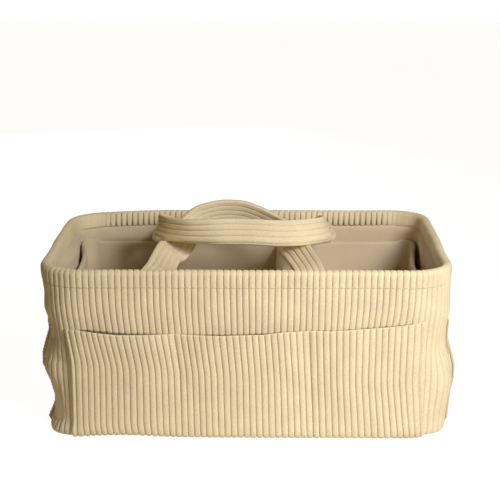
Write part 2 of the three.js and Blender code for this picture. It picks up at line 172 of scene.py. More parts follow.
def sag(x, y, height):
    """How far the cloth has risen: the rim dips at the back left corner, the foot lifts at the front left."""
    dip = 3.2 * eased(x, -85, -185) * eased(y, 20, 105) * eased(height, 110, 165)
    lift = 2.2 * hump(x, -122, 42) * eased(y, -60, -112) * eased(height, 40, 4)
    return lift - dip


def from_middle(along, middle=0):
    """Lengths along the wall counted both ways from a point of it, which is the front's middle at 0."""
    return np.mod(along - middle + GIRTH / 2, GIRTH) - GIRTH / 2


def wall_softness(along, height):
    """How far the unsupported cloth swells or sinks: the ends wave, the long sides hardly."""
    point, _ = outline(along)
    x, y = point[..., 0], point[..., 1]
    levels = [0, 9, 22, 35, 48, 61, 74, 87, 99, 112, 127, 143, 161, 173]
    left = np.interp(height, levels, [4, -0.5, -8, -4.5, -1.1, 4.7, 4.2, 0, -4.3, -3.3, 0.8, -0.4, 1.6, 1.4])
    right = np.interp(height, levels, [6, 4.5, 5, 6.3, 9, 9, 5.6, 0.2, 0, 0.8, 3, 2.2, 1.8, 2])
    at_end = eased(np.abs(x), RIM_LENGTH / 2 - 20, RIM_LENGTH / 2 - 4)
    ends = np.where(x < 0, left, right) * at_end
    spot = np.stack([x, y, np.broadcast_to(height, x.shape)], -1)
    lumps = unevenness(spot, 70, 11) * 0.7 * eased(height, 4, 20)
    heel = 4.5 * hump(from_middle(along), -186, 18) * eased(height, 22, 3)
    return ends + lumps + heel


def wall_lean(along, height):
    """How far the wales have slid along the wall: towards the middle at the height of the pocket's mouth."""
    reach = from_middle(along)
    slid = eased(height, 142, 92)
    left = np.interp(reach, [-250, -190, -164, -140, -92, -63, -34, 4], [0, 4.4, 4.4, 3.4, 2.8, 2, 1.8, 0])
    right = np.interp(reach, [43, 81, 120, 149, 168, 195, 250], [0, -0.3, -3, -5, -3.8, -3, 0])
    return (left + right) * slid + 0.45 * ripple(reach, height, 38, 5)


def wale_columns(start, stop):
    """Lengths along the wall, eight to a wale, and the height of the wale there from 0 to 1."""
    numbers = np.arange(math.floor(start / WALE) - 1, math.ceil(stop / WALE) + 2)
    along = ((numbers[:, None] + WALE_STEPS / 2) * WALE).ravel()
    crest = np.tile(WALE_HEIGHTS, numbers.size)
    inside = (along > start + 1e-6) & (along < stop - 1e-6)
    return along[inside], crest[inside]


def ring_columns():
    """Columns all round the wall, from the valley beside the middle wale of the front."""
    along, crest = wale_columns(-WALE / 2, GIRTH - WALE / 2 - 0.01)
    return np.concatenate([[-WALE / 2], along]), np.concatenate([[0.0], crest])


def swept(stand_off, height, along, crest, wale_depth, wale_share, lean, soft):
    """A closed section swept along the wall, with the wales' valleys pressed into it square to its face."""
    run = np.roll(stand_off, -1, 0) - np.roll(stand_off, 1, 0)
    rise = np.roll(height, -1, 0) - np.roll(height, 1, 0)
    size = np.maximum(np.hypot(run, rise), 1e-9)
    pressed = wale_depth * (1 - crest) * wale_share
    off = stand_off - pressed * rise / size
    level = height + pressed * run / size
    place = along + lean(along, level)
    return wall_points(place, off + soft(place, level), level)


# Meshes


def grid_faces(rows, columns, loop_rows, loop_columns):
    """Corner rows and columns of each face of a grid that may close on itself."""
    row, column = np.meshgrid(
        np.arange(rows if loop_rows else rows - 1),
        np.arange(columns if loop_columns else columns - 1),
        indexing="ij",
    )
    row, column = row.ravel(), column.ravel()
    corner_rows = np.stack([row, row, row + 1, row + 1], -1)
    corner_columns = np.stack([column, column + 1, column + 1, column], -1)
    return corner_rows, corner_columns


def end_caps(count, first, step, flipped):
    """Faces that close one end of a tube by joining its two halves across."""
    near = np.arange(count // 2 - 1)
    far = count - 1 - near
    quads = first + step * np.stack([near, near + 1, far - 1, far], -1)
    return quads[:, ::-1] if flipped else quads


def cloth_piece(name, grid, materials, wale=None, loop_rows=False, loop_columns=False, lining_row=None):
    """Makes a closed piece from a grid of points; its UV map runs along the cloth in metres.

    From the lining's first row on, the faces take the second material.
    """
    rows, columns = grid.shape[:2]
    corner_rows, corner_columns = grid_faces(rows, columns, loop_rows, loop_columns)
    faces = (corner_rows % rows) * columns + corner_columns % columns
    closed = np.concatenate([grid, grid[:1]], 0) if loop_rows else grid
    closed = np.concatenate([closed, closed[:, :1]], 1) if loop_columns else closed
    step_down = np.linalg.norm(np.diff(closed, axis=0), axis=-1).mean(1)
    step_across = np.linalg.norm(np.diff(closed, axis=1), axis=-1).mean(0)
    down = np.concatenate([[0], np.cumsum(step_down)])
    across = np.concatenate([[0], np.cumsum(step_across)])
    uv = np.stack([across[corner_columns], down[corner_rows]], -1) * MM
    slots = (corner_rows[:, 0] >= (lining_row or rows)).astype(int)
    caps = []
    if loop_rows and not loop_columns:
        caps = [end_caps(rows, 0, columns, True), end_caps(rows, columns - 1, columns, False)]
    if loop_columns and not loop_rows:
        caps = [end_caps(columns, 0, 1, False), end_caps(columns, (rows - 1) * columns, 1, True)]
    for cap in caps:
        faces = np.concatenate([faces, cap])
        uv = np.concatenate([uv, np.zeros((len(cap), 4, 2))])
        slots = np.concatenate([slots, np.zeros(len(cap), int)])
    flat = grid.reshape(-1, 3)
    a, b, c, d = (flat[faces[:, i]] for i in range(4))
    volume = np.einsum("ij,ij->", a, np.cross(b, c)) + np.einsum("ij,ij->", a, np.cross(c, d))
    if volume < 0:
        faces, uv = faces[:, ::-1], uv[:, ::-1]
    mesh = bpy.data.meshes.new(name)
    mesh.from_pydata((flat * MM).tolist(), [], faces.tolist())
    mesh.uv_layers.new(name="cloth").data.foreach_set("uv", uv.ravel())
    # A wale value below 0 is painted shade, which the corduroy's colour reads
    heights = np.broadcast_to(1.0 if wale is None else wale, (rows, columns)).astype(np.float32)
    mesh.attributes.new("wale", "FLOAT", "POINT").data.foreach_set("value", heights.ravel())
    for material in materials:
        mesh.materials.append(material)
    mesh.polygons.foreach_set("material_index", slots.astype(np.int32))
    mesh.shade_smooth()
    piece = bpy.data.objects.new(name, mesh)
    bpy.context.scene.collection.objects.link(piece)
    return piece


# Materials


def add_node(tree, kind, settings=None, values=None, links=None):
    """Adds a shader node with its settings, socket values and incoming links."""
    node = tree.nodes.new(kind)
    for key, value in (settings or {}).items():
        setattr(node, key, value)
    for socket, value in (values or {}).items():
        node.inputs[socket].default_value = value
    for socket, source in (links or {}).items():
        tree.links.new(source, node.inputs[socket])
    return node


def new_material(name):
    """An empty node material and its tree."""
    material = bpy.data.materials.new(name)
    material.use_nodes = True
    material.node_tree.nodes.clear()
    return material, material.node_tree


def corduroy_material(name, crest, valley):
    """Wide-wale cotton corduroy: matt cut pile, pale on the ridges, the ground weave darker between them."""
    material, tree = new_material(name)
    wale = add_node(tree, "ShaderNodeAttribute", {"attribute_name": "wale"})
    uv = add_node(tree, "ShaderNodeUVMap", {"uv_map": "cloth"})
    place = add_node(tree, "ShaderNodeTexCoord")
    # Pile tufts about 1 mm wide and 2.6 mm long, drawn along the ridge
    stretched = add_node(tree, "ShaderNodeMapping", {}, {"Scale": (1 / 0.001, 1 / 0.0026, 1)},
                         {"Vector": uv.outputs["UV"]})
    pile = add_node(tree, "ShaderNodeTexNoise", {}, {"Scale": 1.0, "Detail": 3.0, "Roughness": 0.6},
                    {"Vector": stretched.outputs["Vector"]})
    # Brushed patches about 25 mm across, where the pile lies another way
    brushed = add_node(tree, "ShaderNodeTexNoise", {}, {"Scale": 1 / 0.025, "Detail": 2.0},
                       {"Vector": place.outputs["Object"]})
    height = add_node(tree, "ShaderNodeMapRange", {"interpolation_type": "SMOOTHSTEP"},
                      {"From Min": 0.0, "From Max": 0.95}, {"Value": wale.outputs["Fac"]})
    ground = add_node(tree, "ShaderNodeMix", {"data_type": "RGBA"}, {6: valley, 7: crest},
                      {0: height.outputs["Result"]})
    tuft = add_node(tree, "ShaderNodeMapRange", {},
                    {"From Min": 0.3, "From Max": 0.7, "To Min": 0.9, "To Max": 1.06},
                    {"Value": pile.outputs["Fac"]})
    patch = add_node(tree, "ShaderNodeMapRange", {},
                     {"From Min": 0.3, "From Max": 0.7, "To Min": 0.95, "To Max": 1.05},
                     {"Value": brushed.outputs["Fac"]})
    # A wale below 0 gets painted shade, down to a quarter of the colour at -1
    shade = add_node(tree, "ShaderNodeMapRange", {}, {"From Min": -1.0, "From Max": 0.0, "To Min": 0.25},
                     {"Value": wale.outputs["Fac"]})
    mottled = add_node(tree, "ShaderNodeMath", {"operation": "MULTIPLY"}, {},
                       {0: tuft.outputs["Result"], 1: patch.outputs["Result"]})
    tone = add_node(tree, "ShaderNodeMath", {"operation": "MULTIPLY"}, {},
                    {0: mottled.outputs["Value"], 1: shade.outputs["Result"]})
    colour = add_node(tree, "ShaderNodeVectorMath", {"operation": "SCALE"}, {},
                      {0: ground.outputs[2], "Scale": tone.outputs["Value"]})
    bump = add_node(tree, "ShaderNodeBump", {}, {"Strength": 0.5, "Distance": 0.0004},
                    {"Height": pile.outputs["Fac"]})
    shader = add_node(tree, "ShaderNodeBsdfPrincipled", {},
                      {"Roughness": 0.92, "IOR": 1.46, "Specular IOR Level": 0.25, "Sheen Weight": 0.25,
                       "Sheen Roughness": 0.45, "Sheen Tint": crest},
                      {"Base Color": colour.outputs["Vector"], "Normal": bump.outputs["Normal"]})
    add_node(tree, "ShaderNodeOutputMaterial", {}, {}, {"Surface": shader.outputs["BSDF"]})
    return material


def woven_material(name, colour, thread, roughness, bump_height):
    """Plain-woven cloth: two sets of crossing threads and a soft mottle; thread is the spacing in metres."""
    material, tree = new_material(name)
    uv = add_node(tree, "ShaderNodeUVMap", {"uv_map": "cloth"})
    place = add_node(tree, "ShaderNodeTexCoord")
    # A band of the wave texture repeats every 2 pi / 20 units
    values = {"Scale": 2 * math.pi / 20 / thread, "Distortion": 0.6, "Detail": 1.0}
    warp, weft = (add_node(tree, "ShaderNodeTexWave", {"bands_direction": way}, values,
                           {"Vector": uv.outputs["UV"]}) for way in "XY")
    weave = add_node(tree, "ShaderNodeMath", {"operation": "MULTIPLY"}, {},
                     {0: warp.outputs["Fac"], 1: weft.outputs["Fac"]})
    mottle = add_node(tree, "ShaderNodeTexNoise", {}, {"Scale": 1 / 0.03, "Detail": 3.0},
                      {"Vector": place.outputs["Object"]})
    thread_tone = add_node(tree, "ShaderNodeMapRange", {}, {"To Min": 0.92, "To Max": 1.05},
                           {"Value": weave.outputs["Value"]})
    mottle_tone = add_node(tree, "ShaderNodeMapRange", {},
                           {"From Min": 0.3, "From Max": 0.7, "To Min": 0.95, "To Max": 1.04},
                           {"Value": mottle.outputs["Fac"]})
    tone = add_node(tree, "ShaderNodeMath", {"operation": "MULTIPLY"}, {},
                    {0: thread_tone.outputs["Result"], 1: mottle_tone.outputs["Result"]})
    tinted = add_node(tree, "ShaderNodeVectorMath", {"operation": "SCALE"}, {0: colour[:3]},
                      {"Scale": tone.outputs["Value"]})
    bump = add_node(tree, "ShaderNodeBump", {}, {"Strength": 0.6, "Distance": bump_height},
                    {"Height": weave.outputs["Value"]})
    shader = add_node(tree, "ShaderNodeBsdfPrincipled", {},
                      {"Roughness": roughness, "IOR": 1.46, "Specular IOR Level": 0.3, "Sheen Weight": 0.1},
                      {"Base Color": tinted.outputs["Vector"], "Normal": bump.outputs["Normal"]})
    add_node(tree, "ShaderNodeOutputMaterial", {}, {}, {"Surface": shader.outputs["BSDF"]})
    return material


def fibre_material(name, colour, grain, roughness, bump_height):
    """Thread, felt, board or hook-and-loop tape: a matt tangle of fibres; grain is its size in metres."""
    material, tree = new_material(name)
    place = add_node(tree, "ShaderNodeTexCoord")
    fibres = add_node(tree, "ShaderNodeTexNoise", {}, {"Scale": 1 / grain, "Detail": 4.0, "Roughness": 0.65},
                      {"Vector": place.outputs["Object"]})
    tone = add_node(tree, "ShaderNodeMapRange", {},
                    {"From Min": 0.3, "From Max": 0.7, "To Min": 0.82, "To Max": 1.06},
                    {"Value": fibres.outputs["Fac"]})
    tinted = add_node(tree, "ShaderNodeVectorMath", {"operation": "SCALE"}, {0: colour[:3]},
                      {"Scale": tone.outputs["Result"]})
    bump = add_node(tree, "ShaderNodeBump", {}, {"Strength": 0.7, "Distance": bump_height},
                    {"Height": fibres.outputs["Fac"]})
    shader = add_node(tree, "ShaderNodeBsdfPrincipled", {},
                      {"Roughness": roughness, "IOR": 1.46, "Specular IOR Level": 0.3},
                      {"Base Color": tinted.outputs["Vector"], "Normal": bump.outputs["Normal"]})
    add_node(tree, "ShaderNodeOutputMaterial", {}, {}, {"Surface": shader.outputs["BSDF"]})
    return material


def finishes(context):
    """The caddy's materials by name, each made once."""
    colours = context.scene.caddy_colours
    makers = {
        "corduroy": (corduroy_material, list(colours.crest), list(colours.valley)),
        # Cotton threads are 0.5 mm apart, drawn at 0.9 mm so that the weave shows
        "cotton": (woven_material, list(colours.cotton), 0.0009, 0.88, 0.0002),
        "thread": (fibre_material, list(colours.thread), 0.0004, 0.75, 0.0001),
        "felt": (fibre_material, linear("#B8B0A0"), 0.0012, 0.95, 0.0003),
        "board": (fibre_material, linear("#9C968A"), 0.0025, 0.85, 0.0001),
        "loop_tape": (fibre_material, linear("#D9CBA8"), 0.0009, 0.95, 0.0005),
        "hook_tape": (fibre_material, linear("#CFC09B"), 0.0014, 0.6, 0.0006),
    }
    made = {}
    for name, (make, *settings) in makers.items():
        title = f"caddy {name}"
        made[name] = bpy.data.materials.get(title) or make(title, *settings)
    return made


# Operators, one for each group of pieces


class CADDY_OT_outer_walls(bpy.types.Operator):
    """Padded corduroy wall, one ring round the tote, curled under at the base and tucked in under the hem"""

    bl_idname = "caddy.outer_walls"
    bl_label = "Outer walls"

    def execute(self, context):
        # Stand-off and height of each row, which stand closest where the pockets' mouths are
        foot = [[-9, 0.6], [-7, 0.15], [-4.6, 0.1], [-2.6, 0.9], [-1.2, 2.4], [-0.4, 4.8], [0, 8]]
        levels = [*np.linspace(12, 99, 15), *np.linspace(102, 126, 17), *np.linspace(131, HEM_BOTTOM - 4, 5)]
        middle = [[0, level] for level in levels]
        edge = [[-0.03, 2], [-0.1, 0.9], [-0.2, 0.25], [-0.7, 0.02]]
        tuck = [[off, HEM_BOTTOM - drop] for off, drop in edge]
        rear = [[WALL_BACK, height] for height in (HEM_BOTTOM - 0.2, 80, 3.4)]
        section = np.array(foot + middle + tuck + rear)
        # How much of the wales' depth each row has
        share = np.ones(len(section))
        share[-3:] = 0
        share[-4] = 0.4
        along, crest = ring_columns()
        grid = swept(section[:, :1], section[:, 1:], along, crest, context.scene.caddy_sizes.wale_depth / MM,
                     share[:, None], wall_lean, wall_creases)
        # Painted shade on the wall in the gap behind each pocket strip's mouth
        seen = painted_pocket_shade(along, section[:, 1:])
        # Round the corners painted shade darkens the wall's valleys
        point, _ = outline(along)
        corner_valley_shade = 1 + 0.8 * eased(np.abs(point[:, 0]), RIM_LENGTH / 2 - 36, RIM_LENGTH / 2 - 16)
        # Below 0 the wale value is painted shade
        wale = np.minimum((1 - (1 - crest) * share[:, None] * corner_valley_shade) * np.abs(seen), seen)
        walls = cloth_piece("outer_walls", grid, [finishes(context)["corduroy"]], wale, True, True)
        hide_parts(*(f"{side}_{layer}" for side in ("front", "right", "back", "left")
                             for layer in ("outer_panel", "foam")))
        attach(walls, "tote")
        return {"FINISHED"}


def painted_pocket_shade(along, height):
    """1 where the wall is in sight and -1 where it gets painted shade, in the gap behind a pocket strip's
    mouth.
    """
    seen = np.ones(np.broadcast_shapes(along.shape, height.shape))
    for name, (middle, seams, _, _) in POCKETS.items():
        reach = from_middle(along, middle)
        mouth = pocket_mouth(reach, name)
        # The painted shade runs from just above the mouth down into the gap behind the strip
        behind = eased(height, mouth + 0.3, mouth - 1.3) * eased(height, mouth - 20, mouth - 12)
        covered = eased(np.abs(reach), seams[-1] - 4, seams[-1] - 12) * behind
        seen = np.minimum(seen, 1 - 2 * covered)
    return seen


def wall_creases(along, height):
    """The wall's softness with two short creases beside the front pocket's left edge."""
    dent = hump(height, 80, 1.8) + 0.8 * hump(height, 71, 1.6)
    return wall_softness(along, height) - 1.3 * hump(from_middle(along), -188, 12) * dent


class CADDY_OT_rim(bpy.types.Operator):
    """Padded rim hem: corduroy turned over the wall's top, its wales running over the roll"""

    bl_idname = "caddy.rim"
    bl_label = "Rim hem"

    def execute(self, context):
        top = HEIGHT
        # Stand-off and height of each row: up the outside, over the roll, down the inside and back within
        edge = [[-0.7, 0.02], [-0.2, 0.25], [-0.1, 0.9], [0, 2], [0.2, 5]]
        outer = [[off, HEM_BOTTOM + rise] for off, rise in edge] + [[0.35, top - 8.5], [0.3, top - 6.5]]
        turns = np.linspace(0.22, 2.95, 11)
        roll = [[-4.7 + 5.1 * math.cos(turn), top - 5.2 + 5.2 * math.sin(turn)] for turn in turns]
        inner = [[-9.9, top - 7], [-10, top - 12.5], [-9.7, top - 15.3], [-9, top - 16.4], [-8, top - 16.4]]
        rear = [[-7.3, top - 15], [-7.3, top - 3.8], [-2.6, top - 3.8], [-2.6, HEM_BOTTOM + 2]]
        section = np.array(outer + roll + inner + rear)
        share = np.ones(len(section))
        share[0] = 0.4
        share[-4:] = 0
        along, crest = ring_columns()
        # The wales lie flatter over the roll, most so at the ends and the back, where the hem is tight
        point, _ = outline(along)
        from_end = RIM_LENGTH / 2 - np.abs(point[:, 0])
        on_end = np.where(point[:, 1] < 0, eased(from_end, 26, 4), eased(from_end, 62, 24))
        over_top = eased(section[:, 1], top - 8, top - 3) * (np.arange(len(section)) < len(outer + roll))
        over_top[len(outer):len(outer + roll + inner)] = 1
        inside = np.arange(len(section))[:, None] >= len(outer + roll) - 3
        flattened = np.maximum(0.92 * on_end, np.where(point[:, 1] < 0, 0.4, np.where(inside, 0.25, 0.7)))
        share = share[:, None] * (1 - over_top[:, None] * flattened)
        grid = swept(section[:, :1], section[:, 1:], along, crest, context.scene.caddy_sizes.wale_depth / MM,
                     share, hem_lean, wall_softness)
        # Inside, painted shade makes the valleys broad and dark, most so towards the lip
        # Painted shade grows towards the hem's lower lip
        lip_shade = 0.65 * eased(section[:, 1:], top - 5, top - 16)
        wale = np.where(inside, 1 - 2.1 * (1 - crest**4.5) * share - lip_shade, 1 - (1 - crest) * share)
        rim = cloth_piece("rim_roll", grid, [finishes(context)["corduroy"]], wale, True, True)
        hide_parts("rim_hem")
        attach(rim, "tote")
        return {"FINISHED"}


def hem_lean(along, height):
    """The hem's wales run on from the wall's."""
    slid = wall_lean(along, 0 * along + HEM_BOTTOM)
    return np.broadcast_to(slid, np.broadcast_shapes(along.shape, height.shape))


# Outside pockets: where the strip's mouth runs, how it stands off the wall, how its wales lie

POCKET_CLOTH = 3.2
FOLD_WIDTH = 4.6
LONG_SEAMS = [-174, -10.5 * WALE, 10.5 * WALE, 174]
END_SEAMS = [-80, 80]
# The middle of each strip along the wall, its seams, and how far each of its pockets gapes at the mouth
# and swells in the belly, as shares of the pocket depth
POCKETS = {
    "front_pocket": (0, LONG_SEAMS, [0.95, 0.75, 0.4], [0.2, 0.3, 0.55]),
    "right_pocket": (QUARTER, END_SEAMS, [0.05], [0.5]),
    "back_pocket": (2 * QUARTER, LONG_SEAMS, [0.4, 0.5, 0.4], [0.5, 0.45, 0.5]),
    "left_pocket": (3 * QUARTER, END_SEAMS, [0.08], [0.5]),
}


def pocket_mouth(reach, name):
    """Height of a pocket strip's mouth: the front one dips in the middle and rises at the right."""
    if name != "front_pocket":
        return np.interp(reach, [-174, 0, 174], [112, 109.5, 112])
    marks = [-175, -160, -120, -20, 20, 40, 85, 145, 174]
    return np.interp(reach, marks, [113.4, 114, 110.4, 109.4, 110.8, 113, 113.8, 118.6, 122.4])


def crease_height(reach):
    """Height of the soft crease across the front strip, which drops from left to right."""
    return np.interp(reach, [-174, -122, -60, 14, 174], [80, 74.5, 71, 64, 62])


def past(distance, rounding):
    """The distance where it is above 0, else 0, rounded off round 0."""
    return rounding * np.logaddexp(0, distance / rounding)


def pocket_bow(reach, seams, swells):
    """A swell between each two seams, full in the middle and nothing at the seams."""
    total = np.zeros(reach.shape)
    for start, stop, swell in zip(seams[:-1], seams[1:], swells):
        across = np.clip((2 * reach - start - stop) / (stop - start), -1, 1)
        total = total + swell * (1 - np.abs(across) ** 2.6)
    return total


def pocket_gap(reach, height, mouth, name, depth):
    """Stand-off of a strip's inside from the wall, which swells between its seams at mouth and belly."""
    _, seams, mouths, bellies = POCKETS[name]
    share_up = np.clip(height / mouth, 0, 1)
    opening = eased(share_up, 0.55, 1.0)
    if name == "front_pocket":
        crease = crease_height(reach)
        opening = past(height - crease, 3) / (mouth - crease)
    at_mouth = pocket_bow(reach, seams, np.array(mouths) * depth) * opening
    at_belly = pocket_bow(reach, seams, np.array(bellies) * depth) * np.sin(math.pi * share_up) ** 0.8
    return 0.4 + at_mouth + at_belly


def foot_curl(height):
    """How far the wall's foot has curled under at a height."""
    return np.interp(height, [0.1, 0.9, 2.4, 4.8, 8], [-4.6, -2.6, -1.2, -0.4, 0])


def pocket_lean(name):
    """Slide along the wall of a pocket's wales; the front strip's lean to the left above its crease."""
    middle = POCKETS[name][0]

    def lean(along, height):
        reach = along - middle
        if name != "front_pocket":
            return 0.6 * ripple(reach, height, 50, len(name))
        above = np.interp(reach, [-174, -165, -141, -92, -34, 4, 43, 82, 120],
                          [0.11, 0.125, 0.18, 0.15, 0.115, 0.076, 0.067, 0.04, 0])
        below = np.interp(reach, [-174, -141, -116, -92, -34, 4, 43, 82, 120, 149, 174],
                          [-0.03, -0.035, -0.015, 0, 0.013, 0.023, 0.047, 0.063, 0.098, 0.12, 0.08])
        from_crease = height - crease_height(reach)
        edge = 2.4 * eased(reach, -115, -174)
        foot = 1.6 * eased(height, 16, 0) * eased(reach, -60, -110) * eased(reach, -174, -160)
        slide = below * past(-from_crease, 2) - above * past(from_crease, 2)
        return edge + foot + slide + 0.45 * ripple(reach, height, 38, 21)

    return lean


class CADDY_OT_pockets(bpy.types.Operator):
    """Outside pocket strips, corduroy lined with cotton, sewn at ends, seams and foot and open at the top"""

    bl_idname = "caddy.pockets"
    bl_label = "Outside pockets"

    def execute(self, context):
        made = finishes(context)
        for name, (_, seams, _, _) in POCKETS.items():
            piece = self.strip(name, context.scene.caddy_sizes, [made["corduroy"], made["cotton"]])
            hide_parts(f"{name}_face", f"{name}_lining")
            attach(piece, "tote")
        return {"FINISHED"}

    def strip(self, name, sizes, materials):
        """One strip: up its face, over the mouth's rolled edge and down its lining."""
        middle, seams, _, _ = POCKETS[name]
        along, crest = wale_columns(middle + seams[0], middle + seams[-1])
        reach = np.concatenate([[seams[0]], along - middle, [seams[-1]]])
        crest = np.concatenate([[0.9], crest, [0.9]])
        edge = np.minimum(reach - seams[0], seams[-1] - reach)
        # A folded edge is a smooth ridge that thins to nothing at its end
        crest = np.where(edge < FOLD_WIDTH, 0.95 - 0.75 * hump(edge, FOLD_WIDTH, 0.7), crest)
        cloth = POCKET_CLOTH * (0.5 + 0.5 * np.sqrt(1 - np.clip(1 - edge / 2.2, 0, 1) ** 2))
        cloth = cloth + 0.6 * hump(edge, 2.2, 1.6)
        mouth = pocket_mouth(reach, name)
        up = np.concatenate([np.linspace(0, 0.9, 30), np.linspace(0.92, 1, 6)])[:, None]
        level = 0.5 + (mouth - 0.5 - cloth / 2) * up
        inside = pocket_gap(reach, level, mouth, name, sizes.pocket_depth / MM)
        turn = np.linspace(0, math.pi, 8)[1:-1, None]
        roll_off = inside[-1] + cloth / 2 + cloth / 2 * np.cos(turn)
        roll_level = level[-1] + cloth / 2 * np.sin(turn) * 1.2
        stand_off = np.concatenate([inside + cloth, roll_off, inside[::-1]])
        height = np.concatenate([level, roll_level, level[::-1]])
        # The lining has no wales
        share = np.ones((len(height), 1))
        share[len(up) + len(turn) // 2:] = 0
        stand_off[:len(up)] -= 0.5 * sum(hump(reach, seam, 1.1) for seam in seams[1:-1])
        grid = swept(stand_off + foot_curl(height), height, reach + middle, crest, sizes.wale_depth / MM,
                     share, pocket_lean(name), wall_softness)
        wale = 1 - (1 - crest) * share
        return cloth_piece(name, grid, materials, wale, True, False, len(up) + len(turn))


# Stitches

# From one to the next up a seam, from a strip's end to its seam, from a mouth down to its bars, from one to
# the next along a bar, and half the thread's width and height
STITCH_STEP = 3.6
SEAM_INSET = 2.4
BAR_DROP = 16
BAR_STEP = 2.6
THREAD_HALF = (0.4, 0.32)


class CADDY_OT_stitches(bpy.types.Operator):
    """Rows of lockstitch round the hem and down the pockets' seams, and short bars below each mouth's ends"""

    bl_idname = "caddy.stitches"
    bl_label = "Stitches"

    def execute(self, context):
        bpy.ops.object.select_all(action="DESELECT")
        bpy.ops.mesh.primitive_uv_sphere_add(segments=6, ring_count=4, radius=1)
        pattern = context.object
        pattern.data.materials.append(finishes(context)["thread"])
        round_hem = np.arange(WALES_ROUND) * WALE
        level = np.full(WALES_ROUND, HEM_BOTTOM + 0.6)
        self.row("hem_stitches", pattern, "rim_roll", round_hem, level, hem_lean, (1.5, 0))
        for name, (middle, seams, _, _) in POCKETS.items():
            reach, height = [], []
            for line in (seams[0] + SEAM_INSET, *seams[1:-1], seams[-1] - SEAM_INSET):
                up = np.arange(5, pocket_mouth(line, name) - 3.5, STITCH_STEP)
                reach += [line] * len(up)
                height += list(up)
            lean = pocket_lean(name)
            reach, height = np.array(reach), np.array(height)
            self.row(f"{name}_stitches", pattern, name, middle + reach, height, lean, (0, 1.3))
            bar = 2 + BAR_STEP * np.arange(4)
            ends = np.concatenate([seams[0] + bar, seams[-1] - bar])
            below = pocket_mouth(ends, name) - BAR_DROP
            self.row(f"{name}_bars", pattern, name, middle + ends, below, lean, (1.2, 0))
        bpy.data.objects.remove(pattern)
        return {"FINISHED"}

    def row(self, name, pattern, cloth_name, along, height, lean, half):
        """Copies of the stitch laid on a cloth; half is half a stitch along the wall and up it."""
        shape = np.array([vertex.co for vertex in pattern.data.vertices])
        faces = [list(face.vertices) for face in pattern.data.polygons]
        cloth = bpy.data.objects[cloth_name]
        place = along + lean(along, height)
        _, outward = outline(place)
        points, polygons = [], []
        for i in range(len(along)):
            swell = wall_softness(place[i:i + 1], height[i:i + 1])[0]
            centre = wall_points(place[i], 6.0 + swell, height[i])
            _, spot, normal, _ = cloth.closest_point_on_mesh((centre * MM).tolist())
            normal = np.array(normal)
            run = np.array([-outward[i][1], outward[i][0], 0]) * half[0] + np.array([0, 0, half[1]])
            length = np.linalg.norm(run)
            run = run / length
            side = np.cross(normal, run)
            axes = np.stack([run * length, side * THREAD_HALF[0], normal * THREAD_HALF[1]]) * MM
            polygons += [[corner + len(points) * len(shape) for corner in face] for face in faces]
            points.append(shape @ axes + np.array(spot) + normal * 0.05 * MM)
        mesh = bpy.data.meshes.new(name)
        mesh.from_pydata(np.concatenate(points).tolist(), [], polygons)
        mesh.materials.append(pattern.data.materials[0])
        mesh.shade_smooth()
        stitches = bpy.data.objects.new(name, mesh)
        bpy.context.scene.collection.objects.link(stitches)
        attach(stitches, "tote")


# Strap handles


def between(t, low, high, first, second):
    """The point at t on a straight line that is first at low and second at high."""
    return ((high - t) * first + (t - low) * second) / (high - low)


def smooth_path(corners, count):
    """Evenly spaced points on a smooth curve through the corners, and the arc lengths of both."""
    ends = np.concatenate([2 * corners[:1] - corners[1:2], corners, 2 * corners[-1:] - corners[-2:-1]])
    knots = np.concatenate([[0], np.cumsum(np.linalg.norm(np.diff(ends, axis=0), axis=1) ** 0.5)])
    fine = []
    steps = 60
    for i in range(len(corners) - 1):
        k, four = knots[i:i + 4], ends[i:i + 4]
        t = np.linspace(k[1], k[2], steps, endpoint=False)[:, None]
        once = [between(t, k[j], k[j + 1], four[j], four[j + 1]) for j in range(3)]
        twice = [between(t, k[j], k[j + 2], once[j], once[j + 1]) for j in range(2)]
        fine.append(between(t, k[1], k[2], *twice))
    fine = np.concatenate(fine + [corners[-1:]])
    length = np.concatenate([[0], np.cumsum(np.linalg.norm(np.diff(fine, axis=0), axis=1))])
    even = np.linspace(0, length[-1], count)
    return np.stack([np.interp(even, length, axis) for axis in fine.T], -1), even, length[::steps]


def strap_frame(points, side):
    """Directions across and out of each point of a strap that stays level from edge to edge."""
    tangent = np.gradient(points, axis=0)
    tangent /= np.linalg.norm(tangent, axis=1, keepdims=True)
    upright = np.array([0, side * 0.001, 1.0])
    lift = upright - (tangent @ upright)[:, None] * tangent
    lift /= np.linalg.norm(lift, axis=1, keepdims=True)
    return np.cross(lift, tangent), lift


# Each handle from its left tail to its right one, without the tails: sideways from the handle's middle,
# inwards from the hinge line and up from it, and how many degrees the inner edge is turned up there,
# or down where that is below 0
FRONT_PATH = [
    [-74, 12, -10.5, -2], [-72, 28, -13, -14], [-71.4, 43, -14.9, -24], [-71.4, 58, -16.7, -34],
    [-70.9, 70, -17.2, -38], [-70, 83, -17.4, -40], [-68.9, 97, -17.4, -41], [-67.7, 110, -18, -41],
    [-65.5, 120, -20.5, -40], [-60, 130, -18, -38], [-53.5, 138, -8, -56], [-46, 143.5, 1.5, -84],
    [-38, 148, 8.8, -106], [-20, 156, 13, -112], [-6, 158, 13.6, -112], [8, 158, 12.5, -112],
    [19.7, 156, 9.2, -112], [31.5, 152, 5.2, -111], [45.3, 143, 0, -106], [53.5, 130, -4, -88],
    [58.5, 116, -8.5, -52], [62.8, 103, -12.5, -26], [65.6, 88, -12.5, -18], [67.3, 73, -11.5, -14],
    [69.1, 58, -10.8, -11], [71.1, 43, -10.3, -8], [73.2, 28, -9.8, -5], [75, 12, -10, 0],
]
